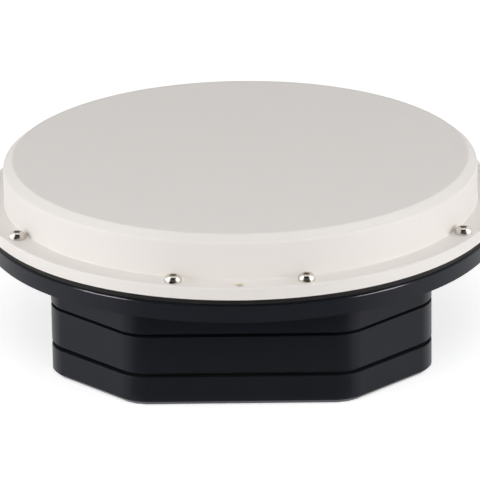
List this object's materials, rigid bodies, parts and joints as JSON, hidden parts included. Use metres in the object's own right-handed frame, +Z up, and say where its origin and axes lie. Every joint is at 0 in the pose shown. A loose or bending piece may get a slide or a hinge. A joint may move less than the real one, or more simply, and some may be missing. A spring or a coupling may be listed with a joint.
{
  "type": "radar dome antenna",
  "caption": "Flat round radar antenna: white bevelled radome on a black gasket and disc, over an octagonal housing of stacked layers with recessed seals and rear sockets",
  "frame": {"origin": "centre of the underside", "axes": "+Z up through the radome, the index hole and front face towards -Y, the sockets towards +Y"},
  "size_m": [0.365, 0.365, 0.1361],
  "materials": {
    "radome_plastic": "matte",
    "stainless": "polished",
    "seal_rubber": "matte",
    "black_anodised": "satin",
    "bare_aluminium": "satin",
    "circuit_laminate": "gloss",
    "copper": "satin",
    "chip_resin": "matte",
    "nickel_brass": "satin",
    "gold_contact": "polished",
    "cable_jacket": "matte"
  },
  "bodies": {
    "root": {"antenna_carrier": "bare_aluminium", "base_disc": "black_anodised", "board_headers": "chip_resin", "board_screws": "stainless", "board_spacers": "bare_aluminium", "bottom_cover": "black_anodised", "carrier_screws": "stainless", "carrier_spacers": "bare_aluminium", "data_socket_insulator": "chip_resin", "data_socket_shell": "nickel_brass", "earth_stud": "stainless", "feed_pins": "gold_contact", "housing_bolts": "stainless", "lower_seal": "seal_rubber", "middle_frame": "black_anodised", "mount_inserts": "stainless", "power_board": "circuit_laminate", "power_capacitors": "chip_resin", "power_modules": "chip_resin", "power_socket_insulator": "chip_resin", "power_socket_shell": "nickel_brass", "processor_board": "circuit_laminate", "processor_chips": "chip_resin", "processor_heatsink": "bare_aluminium", "radio_board": "circuit_laminate", "radio_chips": "chip_resin", "radio_shield": "bare_aluminium", "radome": "radome_plastic", "radome_gasket": "seal_rubber", "radome_screws": "stainless", "receive_board": "circuit_laminate", "receive_patches": "copper", "ribbon_cables": "cable_jacket", "socket_leads": "cable_jacket", "socket_nuts": "nickel_brass", "socket_seals": "seal_rubber", "transmit_board": "circuit_laminate", "transmit_patches": "copper", "upper_frame": "black_anodised", "upper_seal": "seal_rubber", "vent_plug": "chip_resin"}
  },
  "joints": []
}
